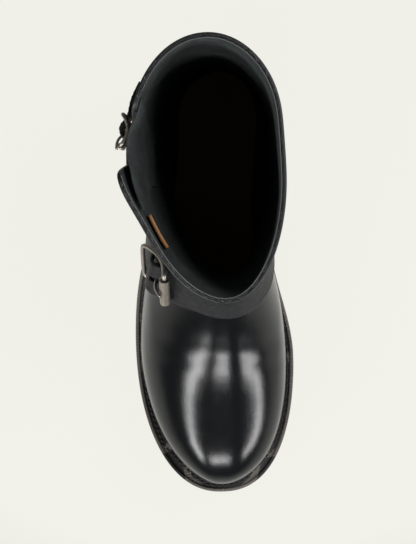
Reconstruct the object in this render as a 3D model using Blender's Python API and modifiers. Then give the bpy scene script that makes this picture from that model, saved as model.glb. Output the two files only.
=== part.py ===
"""Engineer boot for the right foot, in metres. +Z is up, the toe points to -Y and the inner side of the foot is +X.

The upper is one hollow leather wall drawn through leaning sections. The straps and buckles are
measured off its outer face, and the sole layers share one plan and one underside profile.
"""
import math

import bmesh
import bpy
import numpy as np
from mathutils import Vector
from mathutils.bvhtree import BVHTree

# Driving sizes
SOLE_LENGTH = 0.307
BALL_WIDTH = 0.113
BOOT_HEIGHT = 0.285
HEEL_CENTRE = 0.128 * SOLE_LENGTH
LEATHER = 0.0028
GAP = 0.0003

# Sole layers
OUTSOLE = 0.0062
MIDSOLE = 0.0042
WELT = 0.0036
INSOLE = 0.0045
INSOLE_LIFT = 0.0005
INSOLE_EASE = 0.0011
WELT_EASE = 0.0010
TOP_LIFT = 0.0065
HEEL_LIFTS = 3
HEEL_TAPER = 0.0022
HEEL_BREAST = 0.256 * SOLE_LENGTH
WELT_START = 0.295 * SOLE_LENGTH
WIDEST_RISE = 0.0165
TOE_RISE = 0.0140
HEEL_END = {"sole": 0.0, "upper": 0.0148 * SOLE_LENGTH}
TOE_END = {"sole": SOLE_LENGTH, "upper": 0.9689 * SOLE_LENGTH}
HEEL_ROUND = 0.121 * SOLE_LENGTH
TOE_FROM = {"sole_outer": 0.640, "sole_inner": 0.695, "upper_outer": 0.656, "upper_inner": 0.705}
TOE_POWER = {"sole_outer": 2.15, "sole_inner": 2.4, "upper_outer": 1.8, "upper_inner": 2.2}

# Mesh counts
COLUMNS = 36
OPEN_ROWS = 30
CLOSED_ROWS = 12
FEATHER_RINGS = 2
WELT_COUNT = 44
WELT_FOOT_LEVEL = 0.02
WELT_TOP_LEVEL = 0.28
SOLE_STATIONS = 30
SECTION_POINTS = 120

# Side slit at the collar
SLIT_COLUMNS = (6, 9)
SLIT_ROW = 7
SLIT_PINCH = 0.86
FLAP_FLARE = 0.0078
FLAP_REACH = 0.055
FLAP_OVERLAP = 0.02
FLAP_FROM = 3.2
FLAP_RISE = 1.8
GUSSET = 0.0013
GUSSET_EASE = 0.0005
GUSSET_BACK = 0.022
GUSSET_FRONT = 0.060
GUSSET_BULGE = 0.0042
GUSSET_FOLLOW = 0.42

# Straps: the plane each runs in is given by a point inside the boot (across, along and height, as shares of the ball
# width, sole length and boot height), the direction of angle 0, that of 90 degrees and the width's direction
STRAP_EASE = 0.0005
STRAP_STEP = 0.0030
UNDER_EASE = 0.0012
INSTEP = {
    "origin": (0.018, 0.4197, 0.2737), "ahead": (0, -0.73, 0.684), "aside": (1, 0, 0), "across": (0, -0.684, -0.73),
    "width": 0.025, "thick": 0.0023, "buckle_angle": -58, "far_angle": 121, "tip_angle": -122, "anchor_angle": -126,
    "half_length": 0.0155, "side_room": 0.0032, "wire": 0.0016, "bar": 0.0012, "roller": 0.0035, "end_lift": 0.0050,
    "chape": 0.0016, "prong": 0.0011,
}
COLLAR = {
    "origin": (-0.044, 0.226, 0.872), "ahead": (-1, 0, 0), "aside": (0, -1, 0), "across": (0, 0, 1),
    "width": 0.019, "thick": 0.0018, "buckle_angle": -10, "far_angle": 50, "tip_angle": -44, "anchor_angle": -40,
    "half_length": 0.0088, "side_room": 0.0028, "wire": 0.00115, "bar": 0.0009, "roller": 0.0018, "end_lift": 0.0006,
    "chape": 0.0012, "prong": 0.0008,
}


def table(columns, scales, rows):
    """Named columns, each share turned into metres by its scale."""
    values = np.array(rows, float) * np.array(scales, float)
    return dict(zip(columns.split(), values.T))


# Plan: half widths of the sole and the upper to the outer and inner side, and how far the feather tucks under
PLAN = table(
    "along sole_outer sole_inner upper_outer upper_inner tuck_outer tuck_inner",
    (SOLE_LENGTH, BALL_WIDTH, BALL_WIDTH, BALL_WIDTH, BALL_WIDTH, BALL_WIDTH, BALL_WIDTH),
    [
        (0.00, 0.332, 0.301, 0.305, 0.279, 0.022, 0.022),
        (0.13, 0.332, 0.301, 0.310, 0.283, 0.022, 0.022),
        (0.21, 0.336, 0.298, 0.312, 0.279, 0.027, 0.031),
        (0.28, 0.354, 0.295, 0.327, 0.273, 0.031, 0.044),
        (0.34, 0.394, 0.295, 0.363, 0.274, 0.035, 0.053),
        (0.41, 0.442, 0.310, 0.407, 0.292, 0.040, 0.053),
        (0.475, 0.493, 0.339, 0.444, 0.325, 0.035, 0.044),
        (0.54, 0.525, 0.387, 0.472, 0.366, 0.031, 0.035),
        (0.605, 0.538, 0.442, 0.490, 0.396, 0.027, 0.027),
        (0.67, 0.538, 0.474, 0.493, 0.412, 0.027, 0.027),
        (1.00, 0.538, 0.476, 0.493, 0.413, 0.027, 0.027),
    ],
)
# Height of the outsole's underside
UNDERSIDE = table(
    "along height",
    (SOLE_LENGTH, BOOT_HEIGHT),
    [
        (0.00, 0.128), (0.13, 0.124), (0.26, 0.117), (0.33, 0.105), (0.39, 0.083), (0.46, 0.052),
        (0.525, 0.025), (0.585, 0.006), (0.635, 0.0), (0.745, 0.0), (0.80, 0.004), (0.87, 0.014),
        (0.935, 0.029), (1.00, 0.047),
    ],
)
# Shaft: back line, half widths and how long the back takes to round into them; foot is the plan's share of the width
SHAFT = table(
    "height back outer inner round_outer round_inner foot",
    (BOOT_HEIGHT, SOLE_LENGTH, BALL_WIDTH, BALL_WIDTH, SOLE_LENGTH, SOLE_LENGTH, 1),
    [
        (0.21, 0.016, 0.319, 0.288, 0.125, 0.125, 1.00),
        (0.29, 0.015, 0.323, 0.283, 0.125, 0.125, 0.78),
        (0.37, 0.022, 0.327, 0.283, 0.131, 0.125, 0.42),
        (0.44, 0.034, 0.336, 0.288, 0.144, 0.131, 0.12),
        (0.51, 0.043, 0.345, 0.295, 0.157, 0.134, 0.0),
        (0.63, 0.045, 0.365, 0.305, 0.177, 0.141, 0.0),
        (0.75, 0.043, 0.385, 0.314, 0.190, 0.144, 0.0),
        (0.88, 0.038, 0.403, 0.320, 0.203, 0.148, 0.0),
        (1.00, 0.035, 0.417, 0.325, 0.213, 0.148, 0.0),
    ],
)
# Sections from the toe to the collar: the foot of each, its front point, where it begins to close, how round it is
# and how far its ends stand off the centre line. From row 12 on the foot is the shaft's back line.
ROWS = table(
    "foot_along foot_height front_along front_height level power back_across front_across",
    (SOLE_LENGTH, BOOT_HEIGHT, SOLE_LENGTH, BOOT_HEIGHT, 1, 1, BALL_WIDTH, BALL_WIDTH),
    [
        (0.866, 0.000, 0.9689, 0.126, 0.00, 14.0, 0.0, 0.000),
        (0.833, 0.000, 0.966, 0.172, 0.00, 6.0, 0.0, 0.003),
        (0.800, 0.000, 0.941, 0.214, 0.00, 3.6, 0.0, 0.005),
        (0.764, 0.000, 0.892, 0.240, 0.00, 2.7, 0.0, 0.009),
        (0.718, 0.000, 0.820, 0.256, 0.00, 2.35, 0.0, 0.018),
        (0.666, 0.000, 0.728, 0.279, 0.00, 2.15, 0.0, 0.027),
        (0.603, 0.000, 0.639, 0.319, 0.00, 2.0, 0.0, 0.035),
        (0.534, 0.000, 0.564, 0.374, 0.00, 1.95, 0.0, 0.044),
        (0.452, 0.000, 0.511, 0.432, 0.00, 1.95, 0.0, 0.044),
        (0.341, 0.000, 0.4885, 0.498, 0.05, 1.95, 0.0, 0.044),
        (0.203, 0.000, 0.4836, 0.568, 0.15, 1.9, 0.0, 0.044),
        (0.079, 0.000, 0.4836, 0.625, 0.30, 1.9, 0.0, 0.044),
        (0.016, 0.218, 0.4843, 0.667, 0.42, 1.9, 0.0, 0.044),
        (0.0, 0.333, 0.487, 0.730, 0.46, 1.9, -0.009, 0.044),
        (0.0, 0.474, 0.490, 0.800, 0.49, 1.9, -0.027, 0.044),
        (0.0, 0.649, 0.496, 0.877, 0.49, 1.9, -0.040, 0.044),
        (0.0, 0.825, 0.502, 0.940, 0.49, 1.9, -0.046, 0.044),
        (0.0, 1.000, 0.508, 1.000, 0.49, 1.9, -0.047, 0.044),
    ],
)
CLOSED_FROM = 12
LAST_ROW = 17


def smooth(xs, ys, x):
    """A cubic curve through the points, level past both ends."""
    slopes = np.gradient(ys, xs)
    x = np.clip(x, xs[0], xs[-1])
    i = np.clip(np.searchsorted(xs, x) - 1, 0, len(xs) - 2)
    step = xs[i + 1] - xs[i]
    t = (x - xs[i]) / step
    start = (2 * t**3 - 3 * t**2 + 1) * ys[i] + (t**3 - 2 * t**2 + t) * step * slopes[i]
    return start + (3 * t**2 - 2 * t**3) * ys[i + 1] + (t**3 - t**2) * step * slopes[i + 1]


def column(source, key, name, x):
    return smooth(source[key], source[name], x)


def rounded(share, power):
    """Rises from 0 to 1 as a quarter of a superellipse."""
    left = 1 - np.clip(share, 0, 1)
    return np.power(np.clip(1 - left**power, 0, 1), 1 / power)


def plan_width(layer, side, along):
    """Half width of the sole or the upper at its widest level."""
    name = f"{layer}_{side}"
    width = np.interp(along, PLAN["along"], PLAN[name])
    width = np.where(along < PLAN["along"][-2], column(PLAN, "along", name, along), width)
    heel = rounded((along - HEEL_END[layer]) / HEEL_ROUND, 2.0)
    reach = TOE_END[layer] - TOE_FROM[name] * SOLE_LENGTH
    toe = rounded((TOE_END[layer] - along) / reach, TOE_POWER[name])
    return width * heel * toe


def underside(along):
    return np.maximum(column(UNDERSIDE, "along", "height", along), 0.0)


def midsole_top(along):
    return underside(along) + OUTSOLE + GAP + MIDSOLE


def feather_height(along):
    return midsole_top(along) + GAP


def widest_height(along):
    """Height at which the upper bulges most above its feather line."""
    toward_toe = np.clip((along / SOLE_LENGTH - 0.66) * 3, 0, 1)
    return feather_height(along) + WIDEST_RISE + (TOE_RISE - WIDEST_RISE) * toward_toe


def side_reach(side, along, height):
    """Half width of the body at a place, before the front closes."""
    foot = column(SHAFT, "height", "foot", height)
    foot = np.clip(foot, 0, 1)
    back = column(SHAFT, "height", "back", height)
    shift = (back - HEEL_END["upper"]) * np.clip(1 - along / (0.39 * SOLE_LENGTH), 0, 1)
    low = plan_width("upper", side, along - shift)
    share = (along - back) / column(SHAFT, "height", f"round_{side}", height)
    high = column(SHAFT, "height", side, height) * rounded(share, 2.0)
    return foot * low + (1 - foot) * high


def row_value(name, row):
    return smooth(np.arange(len(ROWS[name])), ROWS[name], row)


def section(row):
    """Dense points of one section from its outer foot over the front to its inner foot."""
    if row < CLOSED_FROM:
        foot_along = row_value("foot_along", row)
        foot_height = widest_height(foot_along)
    else:
        past = np.arange(CLOSED_FROM, LAST_ROW + 1)
        foot_height = smooth(past, ROWS["foot_height"][CLOSED_FROM:], row)
        foot_along = column(SHAFT, "height", "back", foot_height)
        if row == CLOSED_FROM:
            foot_height = widest_height(HEEL_END["upper"])
            foot_along = HEEL_END["upper"]
    front_along = row_value("front_along", row)
    front_height = row_value("front_height", row)
    if row == 0:
        front_height = widest_height(front_along)
    level = row_value("level", row)
    power = row_value("power", row)
    share = (1 - np.cos(np.linspace(0, math.pi, SECTION_POINTS))) / 2
    along = foot_along + share * (front_along - foot_along)
    height = foot_height + share * (front_height - foot_height)
    if row == 0:
        height = widest_height(along)
    closing = np.clip((share - level) / (1 - level), 0, 1)
    front = np.power(np.clip(1 - closing**power, 0, 1), 1 / power)
    middle = row_value("back_across", row) * (1 - share) + row_value("front_across", row) * share
    outer = np.column_stack([middle - side_reach("outer", along, height) * front, along, height])
    inner = np.column_stack([middle + side_reach("inner", along, height) * front, along, height])
    return np.vstack([outer, inner[-2::-1]]), len(share) - 1


def column_shares(row):
    """Where the columns stand along a section: even, but drawn together at the foot of the slit."""
    share = np.arange(COLUMNS + 1) / COLUMNS
    bottom = CLOSED_FROM + SLIT_ROW * (LAST_ROW - CLOSED_FROM) / CLOSED_ROWS
    pinch = np.interp(row, [CLOSED_FROM - 2, bottom, LAST_ROW], [0, SLIT_PINCH, 0])
    first, last = SLIT_COLUMNS
    half = (last - first) / 2 / COLUMNS * pinch
    shift = np.interp(np.arange(COLUMNS + 1), [0, first, last, COLUMNS / 2], [0, half, -half, 0])
    return share + shift


def place(row, share):
    """A point of the outer face: the row, and the share of the way round from the outer foot."""
    points, front = section(row)
    steps = np.linalg.norm(np.diff(points, axis=0), axis=1)
    run = np.concatenate([[0], np.cumsum(steps)])
    position = np.where(
        np.asarray(share) < 0.5,
        np.asarray(share) * 2 * run[front],
        run[front] + (np.asarray(share) * 2 - 1) * (run[-1] - run[front]),
    )
    return np.column_stack([np.interp(position, run, points[:, i]) for i in range(3)])


def flap_height(row, shares):
    """How far the front panel's corner stands off the shaft."""
    corner = SLIT_COLUMNS[1] / COLUMNS
    top = np.clip((row - CLOSED_FROM - FLAP_FROM) / FLAP_RISE, 0, 1) ** 2
    return FLAP_FLARE * top * np.exp(-(((shares - corner) / FLAP_REACH) ** 2))


def flap_flare(row, shares):
    """The same, for the front panel alone."""
    return flap_height(row, shares) * (shares > SLIT_COLUMNS[1] / COLUMNS - FLAP_OVERLAP)


def inward_normals(points):
    """Level unit normals of an open run of points, pointing to its left."""
    run = np.gradient(points[:, :2], axis=0)
    normals = np.column_stack([run[:, 1], -run[:, 0], np.zeros(len(run))])
    return normals / np.linalg.norm(normals, axis=1)[:, None]


def row_numbers():
    even = np.linspace(0, CLOSED_FROM - 1, OPEN_ROWS - 4)
    opened = np.concatenate([even, CLOSED_FROM - 1 + np.array([0.25, 0.48, 0.68, 0.86, 1.0])])
    closed = np.linspace(CLOSED_FROM, LAST_ROW, CLOSED_ROWS + 1)
    return np.concatenate([opened, closed[1:]])


def upper_rows():
    rows = []
    for row in row_numbers():
        shares = column_shares(row)
        points = place(row, shares)
        flare = flap_flare(row, shares)
        if flare.max() > 1e-5:
            points = points - inward_normals(points) * flare[:, None]
        rows.append(points)
    return rows


def feather_loop(rows):
    """The loop at the widest level: back of the heel, outer feet, toe, inner feet."""
    outer = [rows[i][0] for i in range(OPEN_ROWS, 0, -1)]
    inner = [rows[i][-1] for i in range(1, OPEN_ROWS)]
    return np.array(outer + list(rows[0]) + inner)


def loop_inward(loop):
    run = np.roll(loop, -1, axis=0) - np.roll(loop, 1, axis=0)
    normals = np.column_stack([run[:, 1], -run[:, 0], np.zeros(len(run))])
    normals = normals / np.linalg.norm(normals, axis=1)[:, None]
    centre = np.array([0, SOLE_LENGTH / 2, 0])
    side = np.sum(normals * (centre - loop) * [1, 0.3, 0], axis=1)
    return normals * (1 if np.median(side) > 0 else -1)


def tucked(loop, level):
    """The upper's outline at a level between its feather line (0) and its widest (1)."""
    side = np.where(loop[:, 0] < 0, 0, 1)
    tuck = np.where(
        side == 0,
        np.interp(loop[:, 1], PLAN["along"], PLAN["tuck_outer"]),
        np.interp(loop[:, 1], PLAN["along"], PLAN["tuck_inner"]),
    )
    points = loop + loop_inward(loop) * (tuck * (1 - level) ** 2)[:, None]
    low = feather_height(points[:, 1])
    points[:, 2] = low + (loop[:, 2] - low) * level
    return points


def to_world(points):
    """Along runs forward from the back of the sole; the world's Y runs back from the heel's centre."""
    points = np.asarray(points, float)
    return np.column_stack([points[:, 0], HEEL_CENTRE - points[:, 1], points[:, 2]])


def new_collection(name, hidden=False):
    collection = bpy.data.collections.new(name)
    collection.hide_render = hidden
    bpy.context.scene.collection.children.link(collection)
    return collection


def new_material(name, colour, roughness, metallic=0.0):
    material = bpy.data.materials.new(name)
    material.use_nodes = True
    shader = material.node_tree.nodes["Principled BSDF"]
    shader.inputs["Base Color"].default_value = (*colour, 1)
    shader.inputs["Roughness"].default_value = roughness
    shader.inputs["Metallic"].default_value = metallic
    return material


def add_object(name, mesh, material, collection):
    mesh.materials.append(material)
    for polygon in mesh.polygons:
        polygon.use_smooth = True
    made = bpy.data.objects.new(name, mesh)
    collection.objects.link(made)
    return made


def finished(mesh_maker, name):
    """Merge doubled corners, face everything outward and hand back the mesh."""
    bmesh.ops.remove_doubles(mesh_maker, verts=mesh_maker.verts, dist=1e-6)
    bmesh.ops.dissolve_degenerate(mesh_maker, edges=mesh_maker.edges, dist=1e-6)
    bmesh.ops.triangulate(mesh_maker, faces=[face for face in mesh_maker.faces if len(face.verts) > 4])
    bmesh.ops.recalc_face_normals(mesh_maker, faces=mesh_maker.faces)
    mesh = bpy.data.meshes.new(name)
    mesh_maker.to_mesh(mesh)
    mesh_maker.free()
    return mesh


def loft(name, sections, material, collection, closed=False, capped=True):
    """A body through a run of sections, each a ring of the same number of points."""
    maker = bmesh.new()
    rings = [[maker.verts.new(point) for point in ring] for ring in sections]
    pairs = list(zip(rings, rings[1:]))
    if closed:
        pairs.append((rings[-1], rings[0]))
    for first, second in pairs:
        for i in range(len(first)):
            after = (i + 1) % len(first)
            maker.faces.new((first[i], first[after], second[after], second[i]))
    if capped and not closed:
        maker.faces.new(rings[0])
        maker.faces.new(rings[-1])
    return add_object(name, finished(maker, name), material, collection)


def stations(start, end, round_start=True, round_end=True, count=SOLE_STATIONS):
    """Places along the sole, closer together where an end is round."""
    share = np.linspace(0, 1, count)
    if round_start and round_end:
        share = (1 - np.cos(share * math.pi)) / 2
    elif round_start:
        share = 1 - np.cos(share * math.pi / 2)
    elif round_end:
        share = np.sin(share * math.pi / 2)
    return start + share * (end - start)


def outline(side, along, inset):
    """Sole outline on one side, moved in by an inset square to its edge."""
    sign = -1 if side == "outer" else 1
    points = np.column_stack([sign * plan_width("sole", side, along), along])
    run = np.gradient(points, axis=0)
    normals = np.column_stack([run[:, 1], -run[:, 0]]) * -sign
    normals = normals / np.linalg.norm(normals, axis=1)[:, None]
    if points[0, 0] == 0:
        normals[0] = (0, 1)
    if abs(points[-1, 0]) < 1e-9:
        normals[-1] = (0, -1)
    moved = points + normals * inset
    moved[:, 0] = np.where(np.abs(points[:, 0]) < 1e-9, 0, moved[:, 0])
    return moved


def slab(name, levels, along, material, collection, flat_end=False):
    """A sole layer: levels give inset and height from the bottom up, as (inset, height function)."""
    columns = []
    for inset, height in levels:
        for side in ("outer", "inner"):
            points = outline(side, along, inset)
            columns.append(np.column_stack([points, height(points[:, 1])]))
    outer = columns[0::2]
    inner = columns[1::2]
    ring = outer + inner[::-1]
    sections = [to_world([part[i] for part in ring]) for i in range(len(along))]
    made = loft(name, sections, material, collection, capped=flat_end)
    return made


def add_sole(materials, collection):
    whole = stations(HEEL_END["sole"], TOE_END["sole"])
    outsole_levels = [
        (0.0018, underside),
        (0.0006, lambda along: underside(along) + 0.0012),
        (0.0004, lambda along: underside(along) + OUTSOLE),
    ]
    slab("outsole", outsole_levels, whole, materials["outsole"], collection)
    midsole_levels = [
        (0.0008, lambda along: underside(along) + OUTSOLE + GAP),
        (0.0004, lambda along: midsole_top(along) - 0.001),
        (0.0010, midsole_top),
    ]
    slab("midsole", midsole_levels, whole, materials["midsole"], collection)
    heel = stations(HEEL_END["sole"], HEEL_BREAST, round_end=False, count=16)
    slab(
        "heel_cap",
        [(HEEL_TAPER + 0.0006, lambda along: 0 * along), (HEEL_TAPER, lambda along: 0 * along + TOP_LIFT)],
        heel,
        materials["heel_cap"],
        collection,
        flat_end=True,
    )

    def lift_top(number):
        share = number / HEEL_LIFTS
        return lambda along: (TOP_LIFT + GAP) * (1 - share) + (underside(along) - GAP) * share

    for number in range(HEEL_LIFTS):
        low = lift_top(number)
        high = lift_top(number + 1)
        below = HEEL_TAPER * (1 - number / HEEL_LIFTS)
        above = HEEL_TAPER * (1 - (number + 1) / HEEL_LIFTS)
        slab(
            f"heel_lift_{number + 1}",
            [
                (below + 0.0004, lambda along, low=low: low(along) + (GAP if number else 0)),
                (above + 0.0001, lambda along, high=high: high(along)),
            ],
            heel,
            materials["heel_stack"],
            collection,
            flat_end=True,
        )


def add_welt(loop, materials, collection):
    """A ring about three quarters of the way round, from the heel breast over the toe and back."""
    count = WELT_COUNT
    share = np.sin(np.linspace(0, 1, count) * math.pi / 2)
    sole_along = WELT_START + share * (TOE_END["sole"] - WELT_START)
    halves = []
    for side in ("outer", "inner"):
        edge = outline(side, sole_along, 0.0008)
        lip = outline(side, sole_along, 0.0012)
        lip_inside = outline(side, sole_along, 0.0030)
        channel = outline(side, sole_along, 0.0036)
        rows = []
        for i in range(count):
            near_in = nearest_inside(edge[i], loop, WELT_FOOT_LEVEL)
            top_in = nearest_inside(edge[i], loop, WELT_TOP_LEVEL)
            low = midsole_top(edge[i][1]) + GAP
            rows.append(
                [
                    (*edge[i], low),
                    (*edge[i], low + WELT * 0.75),
                    (*lip[i], low + WELT),
                    (*lip_inside[i], low + WELT),
                    (*channel[i], low + WELT * 0.72),
                    (*top_in, low + WELT * 0.72),
                    (*near_in, low),
                ]
            )
        halves.append(rows)
    path = halves[0] + halves[1][-2::-1]
    loft("welt", [to_world(ring) for ring in path], materials["welt"], collection)


def nearest_inside(point, loop, level):
    """The place on the upper's outline nearest a sole edge point, with the gap kept."""
    ring = tucked(loop, level)
    closed = np.vstack([ring, ring[:1]])
    best = None
    for start, end in zip(closed[:-1, :2], closed[1:, :2]):
        run = end - start
        share = np.clip(np.dot(point - start, run) / max(np.dot(run, run), 1e-12), 0, 1)
        candidate = start + run * share
        distance = np.linalg.norm(point - candidate)
        if best is None or distance < best[0]:
            best = (distance, candidate)
    away = (point - best[1]) / best[0]
    return best[1] + away * WELT_EASE


def add_upper(rows, loop, materials, collection):
    """The hollow wall: outer face, inner face, and the rims that join them."""
    maker = bmesh.new()
    grid = []
    for number, points in enumerate(rows):
        world = to_world(points)
        line = [maker.verts.new(point) for point in world]
        if number > OPEN_ROWS - 1:
            line[-1] = line[0]
        grid.append(line)
    first, last = SLIT_COLUMNS
    for number in range(len(rows) - 1):
        for i in range(COLUMNS):
            if number >= OPEN_ROWS + SLIT_ROW and first <= i < last:
                continue
            corners = (grid[number][i], grid[number][i + 1], grid[number + 1][i + 1], grid[number + 1][i])
            unique = list(dict.fromkeys(corners))
            maker.faces.new(unique)
    ring = [grid[i][0] for i in range(OPEN_ROWS, 0, -1)] + grid[0] + [grid[i][-1] for i in range(1, OPEN_ROWS)]
    for step in range(FEATHER_RINGS):
        level = 1 - (step + 1) / FEATHER_RINGS
        lower = [maker.verts.new(point) for point in to_world(tucked(loop, level))]
        for i in range(len(ring)):
            after = (i + 1) % len(ring)
            maker.faces.new((ring[i], ring[after], lower[after], lower[i]))
        ring = lower
    bmesh.ops.delete(maker, geom=[v for v in maker.verts if not v.link_faces], context="VERTS")
    bmesh.ops.recalc_face_normals(maker, faces=maker.faces)
    maker.normal_update()
    top = max(v.co.z for v in maker.verts)
    rim = {v for v in maker.verts if v.co.z > top - 1e-5}
    feather = set(ring)
    forefoot = [face for face in maker.faces if face.calc_center_median().y < -HEEL_CENTRE]
    outward = 1 if sum(face.normal.z * face.calc_area() for face in forefoot) > 0 else -1
    inner = {}
    for v in list(maker.verts):
        normal = v.normal * outward
        if v in rim or v in feather:
            normal = Vector((normal.x, normal.y, 0)).normalized()
        inner[v] = maker.verts.new(v.co - normal * LEATHER)
    border = [edge for edge in maker.edges if len(edge.link_faces) == 1]
    for face in list(maker.faces):
        maker.faces.new([inner[v] for v in reversed(face.verts)])
    for edge in border:
        a, b = edge.verts
        maker.faces.new((a, b, inner[b], inner[a]))
    return add_object("upper", finished(maker, "upper"), materials["leather"], collection)


def add_insole(loop, materials, collection):
    """A board inside the feather line, flat across and following the sole along."""
    ring = tucked(loop, 0.0)
    inside = ring + loop_inward(ring) * (LEATHER + INSOLE_EASE)
    start = inside[:, 1].min()
    end = inside[:, 1].max()
    along = stations(start, end, count=26)
    back = inside[np.argmin(inside[:, 1])]
    tip = inside[np.argmax(inside[:, 1])]
    sections = []
    for place_along in along:
        xs = crossing(inside, place_along, back, tip)
        low = feather_height(place_along) + INSOLE_LIFT
        ring_points = [
            (xs[0], place_along, low),
            (xs[0], place_along, low + INSOLE),
            (xs[1], place_along, low + INSOLE),
            (xs[1], place_along, low),
        ]
        sections.append(to_world(ring_points))
    loft("insole", sections, materials["insole"], collection, capped=False)


def crossing(loop, along, back, tip):
    """Where a closed outline crosses a line square to the foot."""
    closed = np.vstack([loop, loop[:1]])
    found = []
    for start, end in zip(closed[:-1], closed[1:]):
        if (start[1] - along) * (end[1] - along) < 0:
            share = (along - start[1]) / (end[1] - start[1])
            found.append(start[0] + share * (end[0] - start[0]))
    if len(found) < 2:
        point = back if abs(along - back[1]) < abs(along - tip[1]) else tip
        return point[0], point[0]
    return min(found), max(found)


def outer_tree(rows, loop):
    """The upper's outer face without its slit, to measure the straps from."""
    points = []
    polygons = []
    for row in rows:
        points.extend(to_world(row))
    width = COLUMNS + 1
    for number in range(len(rows) - 1):
        for i in range(COLUMNS):
            start = number * width + i
            polygons.append((start, start + 1, start + width + 1, start + width))
    ring = loop
    for step in range(FEATHER_RINGS):
        lower = tucked(loop, 1 - (step + 1) / FEATHER_RINGS)
        start = len(points)
        points.extend(to_world(ring))
        points.extend(to_world(lower))
        count = len(loop)
        for i in range(count):
            after = (i + 1) % count
            polygons.append((start + i, start + after, start + count + after, start + count + i))
        ring = lower
    return BVHTree.FromPolygons([Vector(point) for point in points], polygons)


class Wrap:
    """A strap's path round the upper in one plane: angle, place across the strap, lift off the leather."""

    def __init__(self, tree, strap):
        self.tree = tree
        self.strap = strap
        scales = (BALL_WIDTH, SOLE_LENGTH, BOOT_HEIGHT)
        self.origin = Vector(to_world([[share * size for share, size in zip(strap["origin"], scales)]])[0])
        self.ahead = Vector(strap["ahead"]).normalized()
        self.aside = Vector(strap["aside"]).normalized()
        self.across = Vector(strap["across"]).normalized()
        self.angles = np.linspace(strap["anchor_angle"] - 4, strap["far_angle"] + 4, 160)
        self.line = np.array([self.hit(angle, 0.0) for angle in self.angles])
        steps = np.linalg.norm(np.diff(self.line, axis=0), axis=1)
        run = np.concatenate([[0], np.cumsum(steps)])
        self.run = run - np.interp(strap["buckle_angle"], self.angles, run)

    def hit(self, angle, offset):
        turn = math.radians(angle)
        direction = self.ahead * math.cos(turn) + self.aside * math.sin(turn)
        start = self.origin + self.across * offset
        found = self.tree.ray_cast(start, direction)
        if found[0] is None:
            raise ValueError(f"the strap misses the upper at {angle:.0f} degrees, {offset * 1000:.0f} mm across")
        return found[0]

    def angle_at(self, distance):
        return float(np.interp(distance, self.run, self.angles))

    def distance_at(self, angle):
        return float(np.interp(angle, self.angles, self.run))

    def normal(self, distance):
        ends = [Vector(self.hit(self.angle_at(distance + step), 0)) for step in (-0.006, 0.006)]
        run = (ends[1] - ends[0]).normalized()
        side = run.cross(self.across).normalized()
        outward = Vector(self.hit(self.angle_at(distance), 0)) - self.origin
        return side if side.dot(outward) > 0 else -side

    def section(self, distance, half, lift, thick):
        angle = self.angle_at(distance)
        normal = self.normal(distance)
        low = []
        high = []
        for share in (-1, -0.5, 0, 0.5, 1):
            base = Vector(self.hit(angle, share * half))
            low.append(base + normal * lift)
            high.append(base + normal * (lift + thick * (1 - 0.18 * abs(share) ** 3)))
        return low + high[::-1]

    def local(self):
        """Origin, strap direction, across and outward at the buckle."""
        origin = Vector(self.hit(self.strap["buckle_angle"], 0))
        outward = self.normal(0.0)
        along = self.across.cross(outward).normalized()
        ahead = Vector(self.hit(self.angle_at(0.01), 0)) - origin
        along = along if along.dot(ahead) > 0 else -along
        return origin, along, self.across, outward

    def rise(self, frame, reach, end):
        """How far the leather under the buckle stands above its middle, past the lift of the buckle's ends."""
        origin, _, _, outward = frame
        most = 0.0
        for distance in np.linspace(-end, end, 7):
            for side in np.linspace(-reach, reach, 7):
                height = (Vector(self.hit(self.angle_at(distance), side)) - origin).dot(outward)
                most = max(most, height - self.strap["end_lift"] * (distance / end) ** 2)
        return most

    def heights(self, frame, distance, half):
        """Lowest and highest leather across the strap, above the level of the buckle's middle."""
        origin, _, _, outward = frame
        angle = self.angle_at(distance)
        found = [(Vector(self.hit(angle, side)) - origin).dot(outward) for side in np.linspace(-half, half, 7)]
        return min(found), max(found)


def wire(name, points, radius, material, collection, cyclic=False):
    """A round wire through the points."""
    data = bpy.data.curves.new(name, "CURVE")
    data.dimensions = "3D"
    data.bevel_depth = radius
    data.bevel_resolution = 2
    data.use_fill_caps = not cyclic
    spline = data.splines.new("POLY")
    spline.points.add(len(points) - 1)
    for point, place_at in zip(spline.points, points):
        point.co = (*place_at, 1)
    spline.use_cyclic_u = cyclic
    data.materials.append(material)
    made = bpy.data.objects.new(name, data)
    collection.objects.link(made)
    return made


def box_cutter(name, frame, low, high, collection):
    """A box in a buckle's own frame, from a low to a high corner."""
    origin, along, across, outward = frame
    maker = bmesh.new()
    bmesh.ops.create_cube(maker, size=1)
    for vert in maker.verts:
        place_at = [low[i] + (high[i] - low[i]) * (vert.co[i] + 0.5) for i in range(3)]
        vert.co = origin + along * place_at[0] + across * place_at[1] + outward * place_at[2]
    if along.cross(across).dot(outward) < 0:
        bmesh.ops.reverse_faces(maker, faces=maker.faces)
    mesh = bpy.data.meshes.new(name)
    maker.to_mesh(mesh)
    maker.free()
    cutter = bpy.data.objects.new(name, mesh)
    cutter.hide_render = True
    cutter.display_type = "WIRE"
    collection.objects.link(cutter)
    return cutter


def cut(target, cutter):
    modifier = target.modifiers.new(cutter.name, "BOOLEAN")
    modifier.operation = "DIFFERENCE"
    modifier.object = cutter
    modifier.solver = "EXACT"


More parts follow.
